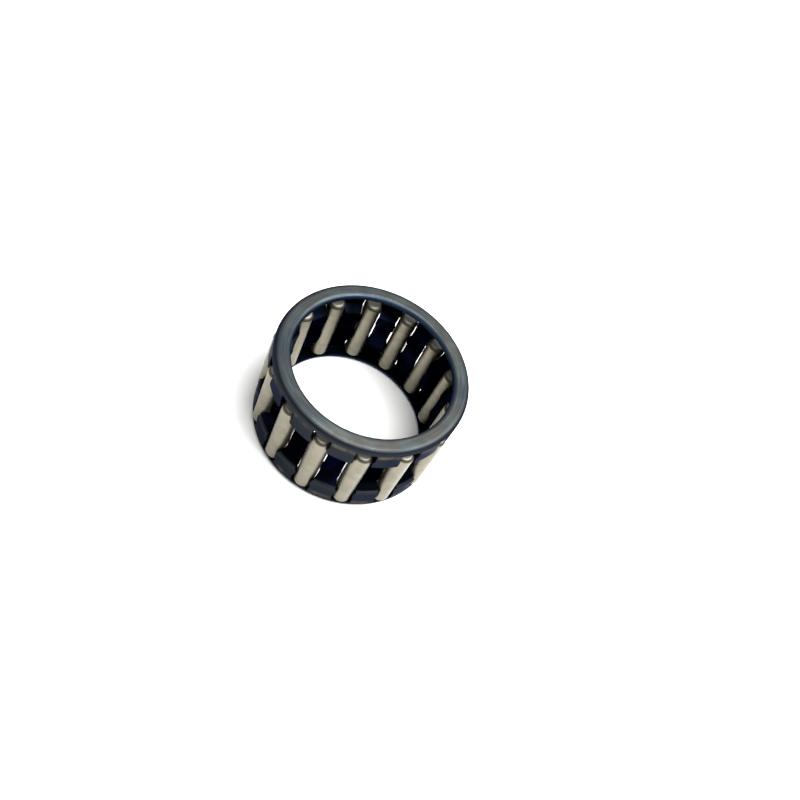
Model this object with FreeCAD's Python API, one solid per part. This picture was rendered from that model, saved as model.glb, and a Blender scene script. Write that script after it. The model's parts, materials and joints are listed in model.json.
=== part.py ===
"""Needle roller and cage assembly: a one-piece cranked steel cage that holds fourteen needle rollers.

Units are millimetres. The origin is the centre of the lower face, +Z is the bearing axis,
and roller_01 stands on +X.
"""
import FreeCAD
import Part
import math
import os

# Driving dimensions: what the bearing fits
shaft_diameter = 25.0        # raceway under the rollers
roller_diameter = 3.0
roller_count = 14
roller_corner = 0.65         # rounding between a roller's flank and its flat ends

# Driving dimensions: the cage, pressed from sheet and folded in at both ends
cage_width = 17.0
bore_recess = 0.15           # how far the cage's bore stands back from the shaft, on the radius
rim_recess = 0.2             # how far the cage's rim stands back from the housing, on the radius
sheet = 0.9                  # wall thickness
land_length = 4.3            # straight outer band beside each face
crank_length = 1.1           # axial length of each slope between a land and the waist
waist_recess = 0.2           # how far the waist's inner face stands back from the cage's bore
rim_rounding = 0.9           # fold between a face and the rim
bore_rounding = 0.65         # coined edge of each flange at the bore, on its outer side
bore_edge_break = 0.05       # the same edge on its inner side
fold_rounding = 0.15         # inside of the fold between a flange and its land
crank_rounding = 0.45        # bends at the two ends of each slope

# Driving dimensions: the pockets
pocket_clearance = 0.08      # round the flank of a roller
flange_web = 0.1             # metal left between a flange and the pocket's end
end_clearance = 0.05         # between a pocket's lower end and the roller that stands on it
roller_end_play = 1.7        # how much shorter than its pocket a roller is
land_slot_margin = 0.08      # opening in the lands beyond a roller's width, on each side
waist_slot_margin = 0.12     # opening in the waist and slopes beyond a roller's width, on each side
lip_hold = 0.12              # how far each retaining lip reaches over a roller's flank
lip_length = 1.0             # each lip along the axis
lip_setback = 0.3            # from the end of a land or of the waist to its lip
pocket_corner = 0.3          # rounding of the pockets' corners

# Derived sizes
shaft_radius = shaft_diameter / 2
roller_radius = roller_diameter / 2
pitch_radius = shaft_radius + roller_radius
housing_radius = shaft_radius + roller_diameter
bore_radius = shaft_radius + bore_recess
rim_radius = housing_radius - rim_recess
waist_inner_radius = bore_radius + waist_recess
waist_outer_radius = waist_inner_radius + sheet
land_inner_radius = rim_radius - sheet
waist_start = land_length + crank_length
pocket_start = sheet + flange_web
pocket_end = cage_width - pocket_start
roller_start = pocket_start + end_clearance
roller_length = pocket_end - pocket_start - roller_end_play
lip_half_opening = roller_radius - lip_hold
cut_reach = roller_radius    # how far the pocket cutters run past the cage's walls


def rounded_outline(corners):
    """Closed wire in the XZ plane from (radius, height, rounding) corners, joined by lines and arcs."""
    points = [FreeCAD.Vector(r, 0, z) for r, z, _ in corners]
    edges = []
    tangent_points = []
    for i, (_, _, rounding) in enumerate(corners):
        corner = points[i]
        back = (points[i - 1] - corner).normalize()
        ahead = (points[(i + 1) % len(points)] - corner).normalize()
        half_angle = back.getAngle(ahead) / 2
        reach = rounding / math.tan(half_angle)
        to_centre = (back + ahead).normalize() * (rounding / math.sin(half_angle))
        centre = corner + to_centre
        middle = centre - to_centre.normalize() * rounding
        start = corner + back * reach
        end = corner + ahead * reach
        edges.append(Part.Arc(start, middle, end).toShape())
        tangent_points.append((start, end))
    for i in range(len(points)):
        leave = tangent_points[i - 1][1]
        arrive = tangent_points[i][0]
        edges.append(Part.LineSegment(leave, arrive).toShape())
    return Part.Wire(Part.__sortEdges__(edges))


def cage_profile():
    """Section of the cage wall: flange, land, slope, waist, slope, land, flange."""
    slope_angle = math.atan2(rim_radius - waist_outer_radius, crank_length)
    slope_shift = sheet * math.tan(slope_angle / 2)
    lower_outside = [
        (bore_radius, 0.0, bore_rounding),
        (rim_radius, 0.0, rim_rounding),
        (rim_radius, land_length, crank_rounding),
        (waist_outer_radius, waist_start, crank_rounding),
    ]
    lower_inside = [
        (waist_inner_radius, waist_start - slope_shift, crank_rounding),
        (land_inner_radius, land_length - slope_shift, crank_rounding),
        (land_inner_radius, sheet, fold_rounding),
        (bore_radius, sheet, bore_edge_break),
    ]
    upper_outside = [(r, cage_width - z, rounding) for r, z, rounding in reversed(lower_outside)]
    upper_inside = [(r, cage_width - z, rounding) for r, z, rounding in reversed(lower_inside)]
    return rounded_outline(lower_outside + upper_outside + upper_inside + lower_inside)


def slot_cutter(half_width, start, end, corner):
    """Radial bar that cuts a window from start to end in height, with its four long edges rounded."""
    inner = bore_radius - cut_reach
    outer = rim_radius + cut_reach
    origin = FreeCAD.Vector(inner, -half_width, start)
    bar = Part.makeBox(outer - inner, 2 * half_width, end - start, origin)
    long_edges = [e for e in bar.Edges if abs(e.tangentAt(e.FirstParameter).x) > 0.5]
    return bar.makeFillet(corner, long_edges)


def mirrored(start, end):
    """The same stretch of height measured from the other face."""
    return cage_width - end, cage_width - start


def pocket_cutter():
    """Everything taken out of the cage for the roller on +X, leaving a lip in each land and waist end."""
    land_half = roller_radius + land_slot_margin
    waist_half = roller_radius + waist_slot_margin
    land_lip_end = land_length - lip_setback
    waist_lip_start = waist_start + lip_setback
    land_slot = (pocket_start, land_lip_end - lip_length)
    crank_slot = (land_lip_end, waist_lip_start)
    waist_slot = (waist_lip_start + lip_length, cage_width - waist_lip_start - lip_length)
    seat_length = pocket_end - pocket_start
    seat_base = FreeCAD.Vector(pitch_radius, 0, pocket_start)
    seat = Part.makeCylinder(roller_radius + pocket_clearance, seat_length, seat_base)
    through = slot_cutter(lip_half_opening, pocket_start, pocket_end, pocket_corner)
    cutters = [through]
    for start, end in (land_slot, mirrored(*land_slot)):
        cutters.append(slot_cutter(land_half, start, end, pocket_corner))
    for start, end in (crank_slot, mirrored(*crank_slot)):
        cutters.append(slot_cutter(waist_half, start, end, pocket_corner))
    cutters.append(slot_cutter(waist_half, *waist_slot, pocket_corner))
    return seat.fuse(cutters)


def roller_angle(index):
    """Azimuth in degrees of a roller, counted from +X."""
    return 360.0 * index / roller_count


def place_round(shape, index):
    """Copy of a shape modelled at +X, turned to the given roller position."""
    turned = shape.copy()
    turned.rotate(FreeCAD.Vector(0, 0, 0), FreeCAD.Vector(0, 0, 1), roller_angle(index))
    return turned


def make_cage():
    """Turned section with one pocket for each roller."""
    face = Part.Face(cage_profile())
    ring = face.revolve(FreeCAD.Vector(0, 0, 0), FreeCAD.Vector(0, 0, 1), 360)
    pocket = pocket_cutter()
    pockets = [place_round(pocket, i) for i in range(roller_count)]
    return ring.cut(pockets)


def make_roller(index):
    """Cylinder with flat ends and rounded corners, standing at the lower end of its pocket."""
    base = FreeCAD.Vector(pitch_radius, 0, roller_start)
    cylinder = Part.makeCylinder(roller_radius, roller_length, base)
    end_circles = [e for e in cylinder.Edges if isinstance(e.Curve, Part.Circle)]
    return place_round(cylinder.makeFillet(roller_corner, end_circles), index)


def single_solid(shape):
    """The one solid that a shape holds."""
    if len(shape.Solids) != 1:
        raise ValueError("expected one solid, found %d" % len(shape.Solids))
    return shape.Solids[0]


def main():
    """Write one STEP file for each piece."""
    os.makedirs("parts", exist_ok=True)
    pieces = {"cage": make_cage()}
    for index in range(roller_count):
        pieces["roller_%02d" % (index + 1)] = make_roller(index)
    for name, shape in pieces.items():
        single_solid(shape).exportStep("parts/%s.step" % name)


main()
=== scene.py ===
"""Looks of the needle roller and cage assembly: finishes, floor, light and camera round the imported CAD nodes.

Everything is in metres in the part's own frame: the origin is the centre of the lower face, +Z is the
bearing axis and roller_01 stands on +X. The CAD nodes keep their shapes; only their materials change.
Sizes inside the materials are in millimetres.
"""
import json
import math

import bpy
from mathutils import Matrix, Vector


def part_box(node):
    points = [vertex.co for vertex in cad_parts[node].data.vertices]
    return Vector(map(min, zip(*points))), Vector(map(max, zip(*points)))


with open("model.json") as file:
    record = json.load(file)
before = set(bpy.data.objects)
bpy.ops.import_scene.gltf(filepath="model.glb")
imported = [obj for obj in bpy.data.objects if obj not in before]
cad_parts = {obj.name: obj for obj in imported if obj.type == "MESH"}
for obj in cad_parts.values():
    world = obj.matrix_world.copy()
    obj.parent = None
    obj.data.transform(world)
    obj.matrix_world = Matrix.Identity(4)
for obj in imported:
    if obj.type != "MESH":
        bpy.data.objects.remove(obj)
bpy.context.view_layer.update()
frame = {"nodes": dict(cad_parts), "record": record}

MM = 0.001                       # one millimetre in metres
MM_PER_METRE = 1000.0

# Sizes that the finishes follow, in millimetres, taken from the frame
ROLLERS = sorted(name for name in frame["nodes"] if name.startswith("roller_"))
CAGE_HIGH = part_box("cage")[1] * MM_PER_METRE
RIM_RADIUS = CAGE_HIGH.y
MID_HEIGHT = CAGE_HIGH.z / 2
BORE_RADIUS = next(m["dims"]["r_mm"] for m in frame["record"]["mounts"] if m["name"] == "shaft_bore")
ROLLER_LOW, ROLLER_HIGH = (corner * MM_PER_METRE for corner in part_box(ROLLERS[0]))
ROLLER_MIDDLE = (ROLLER_HIGH.z + ROLLER_LOW.z) / 2
ROLLER_HALF_LENGTH = (ROLLER_HIGH.z - ROLLER_LOW.z) / 2


# ---- helpers for node materials ----

def colour(hex_code):
    """Linear RGBA of an sRGB hex code such as "#a1b2c3"."""
    channels = [int(hex_code[i:i + 2], 16) / 255 for i in (1, 3, 5)]
    return [c / 12.92 if c <= 0.04045 else ((c + 0.055) / 1.055) ** 2.4 for c in channels] + [1.0]


def add(tree, kind, inputs, output=0, **settings):
    """Adds one shader node with its settings, values and links, and gives one of its outputs.

    Inputs and outputs go by their name, or by their number, among those that the settings leave in use.
    """
    node = tree.nodes.new("ShaderNode" + kind)
    for name, value in settings.items():
        setattr(node, name, value)

    def in_use(sockets, key):
        enabled = [socket for socket in sockets if socket.enabled]
        return enabled[key] if isinstance(key, int) else next(s for s in enabled if s.name == key)

    for key, value in inputs.items():
        if isinstance(value, bpy.types.NodeSocket):
            tree.links.new(value, in_use(node.inputs, key))
        else:
            in_use(node.inputs, key).default_value = value
    return in_use(node.outputs, output)


def step(start, end, low=0.0, high=1.0):
    """Limits of a smooth step: low up to start, high from end on."""
    return {"From Min": start, "From Max": end, "To Min": low, "To Max": high}


SMOOTH = {"interpolation_type": "SMOOTHSTEP"}


def new_material(name, metallic):
    """Material with its tree and its shader. A metal keeps the default IOR."""
    material = bpy.data.materials.new(name)
    material.use_nodes = True
    shader = material.node_tree.nodes["Principled BSDF"]
    shader.inputs["Metallic"].default_value = metallic
    return material, material.node_tree, shader


def place_mm(tree):
    """Object coordinates in millimetres."""
    place = add(tree, "TexCoord", {}, "Object")
    return add(tree, "VectorMath", {"Vector": place, "Scale": MM_PER_METRE}, operation="SCALE")


def distance_in_height(tree, z, height):
    """How far a point stands above or below a height."""
    above = add(tree, "Math", {0: z, 1: height}, operation="SUBTRACT")
    return add(tree, "Math", {0: above}, operation="ABSOLUTE")


# ---- cage ----

FACE_GREY = "#505554"            # worn face metal
FACE_WARM = "#4b4945"            # the same with a straw tint
FACE_BLUE = "#343b40"            # film left in the face
INNER_EDGE_BLUE = "#304053"      # rounded edge at the bore
OUTER_EDGE_SLATE = "#24292f"     # rounded edge at the rim
LAND_SLATE = "#282b2e"           # outer lands
REFLECTION_TAN = "#4f4a43"           # painted reflection: a tan band on the lands beside each face
FILM_AND_SHADE_BLACK = "#020306"           # walls of the pockets and the inside: blue-black film, made near black as painted shade
FILM_BLUE = "#070a18"            # temper-blue patches in the film
FILM_SLANT = (0.4, 0.4, 0.46, 1.0)   # the film stays dark, and a little blue, where it is seen at a slant

STAIN_MM = 3.0                   # oil and handling marks
TEMPER_MM = 4.0                  # temper-blue patches
PATCH_MM = 7.0                   # darker and lighter stretches of the worn faces
LINE_PITCH_MM = 0.10             # turning lines are about 0.05 mm apart; drawn twice as coarse to show
LINE_LENGTH_MM = 6.0
GROOVE_DEPTH_MM = 0.004
RIPPLE_DEPTH_MM = 0.02

# Where one finish goes over into the next: distances of the start and the end of each step
FACE_STEP_MM = (0.22, 0.01)      # from the plane of a face
EDGE_STEP_MM = (1.0, 0.3)        # from the plane of a face
LAND_STEP_MM = (0.5, 0.15)       # inwards from the rim
OUTSIDE_STEP_MM = (0.9, 1.7)     # outwards from the bore
REFLECTION_BAND_FROM_FACE_MM = 1.4           # middle of the band of painted reflection
REFLECTION_BAND_STEP_MM = (0.6, 0.2)         # from the middle of that band
LINE_SHARE = 0.55                # of the turning lines in what is left of the film on a face
PATCH_SHARE = 0.45               # of the patches in the same

# Grain of each noise: how many finer layers it has, and how strong they are
STAIN_GRAIN = {"Detail": 4.0, "Roughness": 0.55}
TEMPER_GRAIN = {"Roughness": 0.4}
PATCH_GRAIN = {"Roughness": 0.55}
LINE_GRAIN = {"Detail": 2.0, "Roughness": 0.6}

# Limits of the other steps: where each starts and ends, then what it gives there if not 0 and 1
BLUED = (0.48, 0.66)             # temper-blue patches, by their noise
STRAW = (0.42, 0.62)             # straw tint of the faces, by the stains
FILMED = (0.38, 0.64)            # film left in the faces, by the lines and the patches together
BROKEN = (0.38, 0.6, 0.1, 1.0)   # painted reflection band, broken by the stains
BETWEEN = (0.5, -0.6, 0.2, 1.0)  # painted reflection band, by a cosine that is 1 at a pocket and -1 halfway to the next
FILM_ROUGHNESS = (0.35, 0.65, 0.38, 0.50)
FACE_ROUGHNESS = (0.35, 0.65, 0.50, 0.62)
GROOVE_STRENGTH = 0.2
RIPPLE_STRENGTH = 0.3


def cage_steel():
    """Case-hardened sheet steel, pressed and furnace blued, with its faces turned and worn bright.

    The furnace leaves a thin blue-black film on every wall, patchy where the oil ran; inside the cage and in
    the pockets it is made near black as painted shade. The two end faces were turned after hardening, so fine
    lines run round them and the grey metal shows through, and the film stays darker on the rounded edges beside
    them.
    The lands carry a painted reflection: a tan band beside each face, strongest halfway between the pockets.
    """
    material, tree, shader = new_material("blued case-hardened sheet steel", metallic=1.0)
    shader.inputs["Specular Tint"].default_value = FILM_SLANT
    place = place_mm(tree)
    x, y, z = add(tree, "SeparateXYZ", {0: place}).node.outputs
    flat = add(tree, "VectorMath", {0: place, 1: (1, 1, 0)}, operation="MULTIPLY")
    radius = add(tree, "VectorMath", {0: flat}, "Value", operation="LENGTH")
    stains = add(tree, "TexNoise", {"Vector": place, "Scale": 1 / STAIN_MM, **STAIN_GRAIN})
    temper = add(tree, "TexNoise", {"Vector": place, "Scale": 1 / TEMPER_MM, **TEMPER_GRAIN})
    patches = add(tree, "TexNoise", {"Vector": place, "Scale": 1 / PATCH_MM, **PATCH_GRAIN})

    # Turning lines: noise that is short across the radius and long round it, with no seam
    outward = add(tree, "VectorMath", {0: flat}, operation="NORMALIZE")
    arcs = add(tree, "VectorMath", {0: outward, "Scale": RIM_RADIUS / LINE_LENGTH_MM}, operation="SCALE")
    along_x, along_y, _ = add(tree, "SeparateXYZ", {0: arcs}).node.outputs
    across = add(tree, "Math", {0: radius, 1: LINE_PITCH_MM}, operation="DIVIDE")
    line_place = add(tree, "CombineXYZ", {0: along_x, 1: along_y, 2: across})
    lines = add(tree, "TexNoise", {"Vector": line_place, "Scale": 1.0, **LINE_GRAIN})

    # How far a point belongs to a face, to a rounded edge, to the outside and to a land
    height = distance_in_height(tree, z, MID_HEIGHT)
    face_limits = step(*(MID_HEIGHT - d for d in FACE_STEP_MM))
    edge_limits = step(*(MID_HEIGHT - d for d in EDGE_STEP_MM))
    land_limits = step(*(RIM_RADIUS - d for d in LAND_STEP_MM))
    outside_limits = step(*(BORE_RADIUS + d for d in OUTSIDE_STEP_MM))
    on_face = add(tree, "MapRange", {"Value": height, **face_limits}, **SMOOTH)
    on_edge = add(tree, "MapRange", {"Value": height, **edge_limits}, **SMOOTH)
    on_land = add(tree, "MapRange", {"Value": radius, **land_limits}, **SMOOTH)
    outside = add(tree, "MapRange", {"Value": radius, **outside_limits}, **SMOOTH)

    # Painted reflection: a tan band beside each face, strongest halfway between two pockets, broken by the
    # stains
    from_band = distance_in_height(tree, height, MID_HEIGHT - REFLECTION_BAND_FROM_FACE_MM)
    azimuth = add(tree, "Math", {0: y, 1: x}, operation="ARCTAN2")
    pocket_turns = add(tree, "Math", {0: azimuth, 1: len(ROLLERS)}, operation="MULTIPLY")
    near_pocket = add(tree, "Math", {0: pocket_turns}, operation="COSINE")
    between = add(tree, "MapRange", {"Value": near_pocket, **step(*BETWEEN)}, **SMOOTH)
    broken = add(tree, "MapRange", {"Value": stains, **step(*BROKEN)}, **SMOOTH)
    band = add(tree, "MapRange", {"Value": from_band, **step(*REFLECTION_BAND_STEP_MM)}, **SMOOTH)
    painted_reflection = band
    for share in (on_land, between, broken):
        painted_reflection = add(tree, "Math", {0: painted_reflection, 1: share}, operation="MULTIPLY")

    # What is left of the film in the turned faces, by line and by patch
    line_share = add(tree, "Math", {0: lines, 1: LINE_SHARE}, operation="MULTIPLY")
    left_film = add(tree, "Math", {0: patches, 1: PATCH_SHARE, 2: line_share}, operation="MULTIPLY_ADD")

    # Colour, from the walls up to the faces: each layer covers the one before by its share
    blued = add(tree, "MapRange", {"Value": temper, **step(*BLUED)}, **SMOOTH)
    straw = add(tree, "MapRange", {"Value": stains, **step(*STRAW)}, **SMOOTH)
    filmed = add(tree, "MapRange", {"Value": left_film, **step(*FILMED)}, **SMOOTH)
    # the film's near-black base inside the cage and in the pockets is painted shade
    film = {"Factor": blued, "A": colour(FILM_AND_SHADE_BLACK), "B": colour(FILM_BLUE)}
    edge = {"Factor": outside, "A": colour(INNER_EDGE_BLUE), "B": colour(OUTER_EDGE_SLATE)}
    worn = {"Factor": straw, "A": colour(FACE_GREY), "B": colour(FACE_WARM)}
    shown, edge, worn = (add(tree, "Mix", pair, data_type="RGBA") for pair in (film, edge, worn))
    turned = add(tree, "Mix", {"Factor": filmed, "A": worn, "B": colour(FACE_BLUE)}, data_type="RGBA")
    # the tan layer is a painted reflection on the lands
    land, tan = colour(LAND_SLATE), colour(REFLECTION_TAN)
    for share, layer in ((on_land, land), (on_edge, edge), (painted_reflection, tan), (on_face, turned)):
        shown = add(tree, "Mix", {"Factor": share, "A": shown, "B": layer}, data_type="RGBA")
    tree.links.new(shown, shader.inputs["Base Color"])

    film_roughness = add(tree, "MapRange", {"Value": stains, **step(*FILM_ROUGHNESS)}, **SMOOTH)
    face_roughness = add(tree, "MapRange", {"Value": lines, **step(*FACE_ROUGHNESS)}, **SMOOTH)
    roughness = add(tree, "Mix", {"Factor": on_face, "A": film_roughness, "B": face_roughness})
    tree.links.new(roughness, shader.inputs["Roughness"])

    grooves = add(tree, "Math", {0: lines, 1: on_face}, operation="MULTIPLY")
    grooved = add(tree, "Bump", {"Height": grooves, "Strength": GROOVE_STRENGTH,
                                 "Distance": GROOVE_DEPTH_MM * MM})
    rippled = add(tree, "Bump", {"Height": stains, "Strength": RIPPLE_STRENGTH,
                                 "Distance": RIPPLE_DEPTH_MM * MM, "Normal": grooved})
    tree.links.new(rippled, shader.inputs["Normal"])
    return material


# ---- rollers ----

ROLLER_BEIGE = "#7a7567"         # satin skin under thin oil
ROLLER_TAN = "#6f6a5c"           # under thicker oil
ROLLER_PALE = "#7e796b"          # rims of the dents
END_PALE_AND_LIT = "#9b9a91"             # the flat ends: ground and matt, and made paler as a painted reflection
CORNER_SHADE_BROWN = "#4f4b40"         # painted shade in the rounding beside each end, in dark brown

DENT_MM = 0.35                   # dents of the barrel finish are near 0.05 mm; drawn coarser to show
DENT_DEPTH_MM = 0.002
OIL_MM = 1.6
CORNER_STEP_MM = (0.6, 0.35)     # from the plane of an end
END_STEP_MM = (0.12, 0.02)       # from the plane of an end
DENT_GRAIN = {"Detail": 3.0, "Roughness": 0.6}
OIL_GRAIN = {"Detail": 1.5, "Roughness": 0.55}
OILED = (0.38, 0.66)             # limits on the oil's noise
DENTED = (0.42, 0.70, 0.0, 0.6)  # limits on the dents' noise, and how far their pale rims cover the oil
FLANK_ROUGHNESS = (0.3, 0.7, 0.30, 0.40)
END_ROUGHNESS = 0.6
DENT_STRENGTH = 0.1


def roller_steel():
    """Through-hardened bearing steel, ground and then barrel finished, with a trace of oil.

    Tumbling with the grit leaves a satin, faintly mottled skin instead of a mirror. The dried oil gives it a
    beige cast that is deeper where the film is thicker. The roundings beside the ends carry painted shade in
    dark brown, and the flat ends are pale: their ground finish, lightened as a painted reflection.
    """
    material, tree, shader = new_material("barrel-finished bearing steel", metallic=1.0)
    place = place_mm(tree)
    z = add(tree, "SeparateXYZ", {0: place}, "Z")
    dents = add(tree, "TexNoise", {"Vector": place, "Scale": 1 / DENT_MM, **DENT_GRAIN})
    oil = add(tree, "TexNoise", {"Vector": place, "Scale": 1 / OIL_MM, **OIL_GRAIN})
    height = distance_in_height(tree, z, ROLLER_MIDDLE)
    corner_limits = step(*(ROLLER_HALF_LENGTH - d for d in CORNER_STEP_MM))
    end_limits = step(*(ROLLER_HALF_LENGTH - d for d in END_STEP_MM))
    on_corner = add(tree, "MapRange", {"Value": height, **corner_limits}, **SMOOTH)
    on_end = add(tree, "MapRange", {"Value": height, **end_limits}, **SMOOTH)
    oiled = add(tree, "MapRange", {"Value": oil, **step(*OILED)}, **SMOOTH)
    dented = add(tree, "MapRange", {"Value": dents, **step(*DENTED)}, **SMOOTH)

    # the corner layer is painted shade; the pale ends are partly a painted reflection
    layers = {ROLLER_TAN: oiled, ROLLER_PALE: dented, CORNER_SHADE_BROWN: on_corner, END_PALE_AND_LIT: on_end}
    shown = colour(ROLLER_BEIGE)
    for layer, share in layers.items():
        shown = add(tree, "Mix", {"Factor": share, "A": shown, "B": colour(layer)}, data_type="RGBA")
    tree.links.new(shown, shader.inputs["Base Color"])

    flank_roughness = add(tree, "MapRange", {"Value": dents, **step(*FLANK_ROUGHNESS)}, **SMOOTH)
    roughness = add(tree, "Mix", {"Factor": on_corner, "A": flank_roughness, "B": END_ROUGHNESS})
    tree.links.new(roughness, shader.inputs["Roughness"])
    tumbled = add(tree, "Bump", {"Height": dents, "Strength": DENT_STRENGTH, "Distance": DENT_DEPTH_MM * MM})
    tree.links.new(tumbled, shader.inputs["Normal"])
    return material


def dress(node_names, material):
    """Gives the named CAD nodes one material."""
    for name in node_names:
        node = frame["nodes"][name]
        node.data.materials.clear()
        node.data.materials.append(material)


# ---- floor, light and camera ----

FLOOR_HALF_WIDTH = 1.5
FLOOR_DROP = 0.02 * MM           # keeps the table top clear of the face that rests on it
FLOOR_WHITE = "#f2f2f1"
FLOOR_ROUGHNESS = 0.9
FLOOR_SPECULAR = 0.2

STUDIO_STRENGTH = 0.7
SOFTBOX_AZIMUTH = -3
SOFTBOX_ELEVATION = 66
SOFTBOX_DISTANCE = 0.6
SOFTBOX_SIDE = 0.55
SOFTBOX_WATTS = 11.4

CAMERA_AIM = Vector((6.43, 1.98, 8.5)) * MM      # centre of the view, right of the bearing's middle
CAMERA_AZIMUTH = -100.72
CAMERA_ELEVATION = 52.08
CAMERA_DISTANCE = 136.4 * MM
CAMERA_ROLL = 31.24                              # the bearing's axis leans to the right in the frame
CAMERA_LENS = 38.69                              # on the default 36 mm sensor
CAMERA_CLIP_START = 0.005


def make_floor():
    """A plain matt white table top just under the lower face."""
    w, z = FLOOR_HALF_WIDTH, -FLOOR_DROP
    mesh = bpy.data.meshes.new("floor")
    mesh.from_pydata([(-w, -w, z), (w, -w, z), (w, w, z), (-w, w, z)], [], [(0, 1, 2, 3)])
    floor = bpy.data.objects.new("floor", mesh)
    bpy.context.scene.collection.objects.link(floor)
    material, _, shader = new_material("matt white table top", metallic=0.0)
    shader.inputs["Base Color"].default_value = colour(FLOOR_WHITE)
    shader.inputs["Roughness"].default_value = FLOOR_ROUGHNESS
    shader.inputs["Specular IOR Level"].default_value = FLOOR_SPECULAR
    floor.data.materials.append(material)


def aim(obj, place, target, roll=0.0):
    """Stands an object at a place, with its -Z towards the target and its up turned by roll to the left."""
    turn = (target - place).to_track_quat("-Z", "Y").to_matrix().to_4x4()
    obj.matrix_world = Matrix.Translation(place) @ turn @ Matrix.Rotation(roll, 4, "Z")


def on_sphere(target, azimuth, elevation, distance):
    """Point at a distance from the target, by azimuth from +X and elevation in degrees."""
    a, e = math.radians(azimuth), math.radians(elevation)
    return target + distance * Vector((math.cos(e) * math.cos(a), math.cos(e) * math.sin(a), math.sin(e)))


def light_studio():
    """White surroundings, and one square soft light overhead that looks at the middle of the bearing."""
    world = bpy.data.worlds.new("white studio")
    world.use_nodes = True
    surroundings = world.node_tree.nodes["Background"].inputs
    surroundings["Color"].default_value = (1, 1, 1, 1)
    surroundings["Strength"].default_value = STUDIO_STRENGTH
    bpy.context.scene.world = world

    lamp = bpy.data.lights.new("overhead", "AREA")
    lamp.size = SOFTBOX_SIDE
    lamp.energy = SOFTBOX_WATTS
    softbox = bpy.data.objects.new("overhead", lamp)
    bpy.context.scene.collection.objects.link(softbox)
    middle = Vector((0, 0, MID_HEIGHT * MM))
    aim(softbox, on_sphere(middle, SOFTBOX_AZIMUTH, SOFTBOX_ELEVATION, SOFTBOX_DISTANCE), middle)


def add_camera():
    """The camera, close above the bearing and tilted."""
    camera = bpy.data.objects.new("camera", bpy.data.cameras.new("camera"))
    camera.data.lens = CAMERA_LENS
    camera.data.clip_start = CAMERA_CLIP_START
    bpy.context.scene.collection.objects.link(camera)
    place = on_sphere(CAMERA_AIM, CAMERA_AZIMUTH, CAMERA_ELEVATION, CAMERA_DISTANCE)
    aim(camera, place, CAMERA_AIM, math.radians(CAMERA_ROLL))
    bpy.context.scene.camera = camera
    bpy.context.scene.view_settings.view_transform = "Standard"


dress(["cage"], cage_steel())
dress(ROLLERS, roller_steel())
make_floor()
light_studio()
add_camera()
